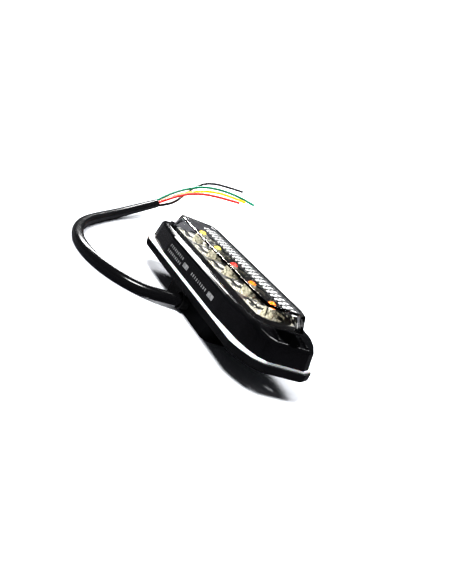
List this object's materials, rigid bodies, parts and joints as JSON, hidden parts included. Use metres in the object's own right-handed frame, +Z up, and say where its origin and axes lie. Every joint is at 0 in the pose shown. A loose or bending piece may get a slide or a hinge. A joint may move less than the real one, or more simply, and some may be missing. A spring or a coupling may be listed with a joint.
{
  "type": "motorcycle tail light",
  "caption": "Slim sealed LED tail light: black housing with a clear dome lens, chromed cups, a rear cable box and a four-core cable with bare cores.",
  "frame": {"origin": "middle of the flat face of the cable box, which is the lowest face, under the middle of the light", "axes": "+X along the light, +Y across it away from the side where the cable leaves, +Z up out through the lens"},
  "size_m": [0.2316, 0.1348, 0.0245],
  "materials": {
    "black_housing": "glossy black ABS with a fine moulded surface",
    "black_cover": "semi-gloss black ABS",
    "white_silicone": "smooth milky white silicone",
    "black_sealant": "smooth black sealant",
    "clear_lens": "polished clear polycarbonate",
    "clear_prism": "clear ribbed polycarbonate",
    "chromed_plastic": "vacuum metallised plastic",
    "board": "white solder mask on glass epoxy",
    "led_yellow": "white base with a yellow dome",
    "led_red": "white base with a red dome",
    "led_amber": "white base with an amber dome",
    "black_epoxy": "moulded epoxy",
    "resistor_ceramic": "coated ceramic",
    "capacitor_can": "drawn aluminium can",
    "steel_screw": "zinc plated steel",
    "solder": "bright solder",
    "black_rubber": "smooth black rubber",
    "cable_pvc": "glossy black PVC",
    "pvc_red": "glossy red PVC",
    "pvc_black": "glossy black PVC",
    "pvc_green": "glossy green PVC",
    "pvc_yellow": "glossy yellow PVC"
  },
  "bodies": {
    "root": {"rear_cover": "black_cover", "body_seal": "white_silicone", "housing": "black_housing", "lens_seal": "black_sealant", "lens": "clear_lens", "reflector": "chromed_plastic", "prism_strip": "clear_prism", "circuit_board": "board", "tail_leds": "led_yellow", "brake_led": "led_red", "turn_leds": "led_amber", "resistors": "resistor_ceramic", "diodes": "black_epoxy", "regulator": "black_epoxy", "capacitor": "capacitor_can", "cover_screws": "steel_screw", "cable_grommet": "black_rubber", "solder_joints": "solder", "lead_red": "pvc_red", "lead_black": "pvc_black", "lead_green": "pvc_green", "lead_yellow": "pvc_yellow", "cable_jacket": "cable_pvc", "core_red": "pvc_red", "core_black": "pvc_black", "core_green": "pvc_green", "core_yellow": "pvc_yellow"}
  },
  "joints": []
}
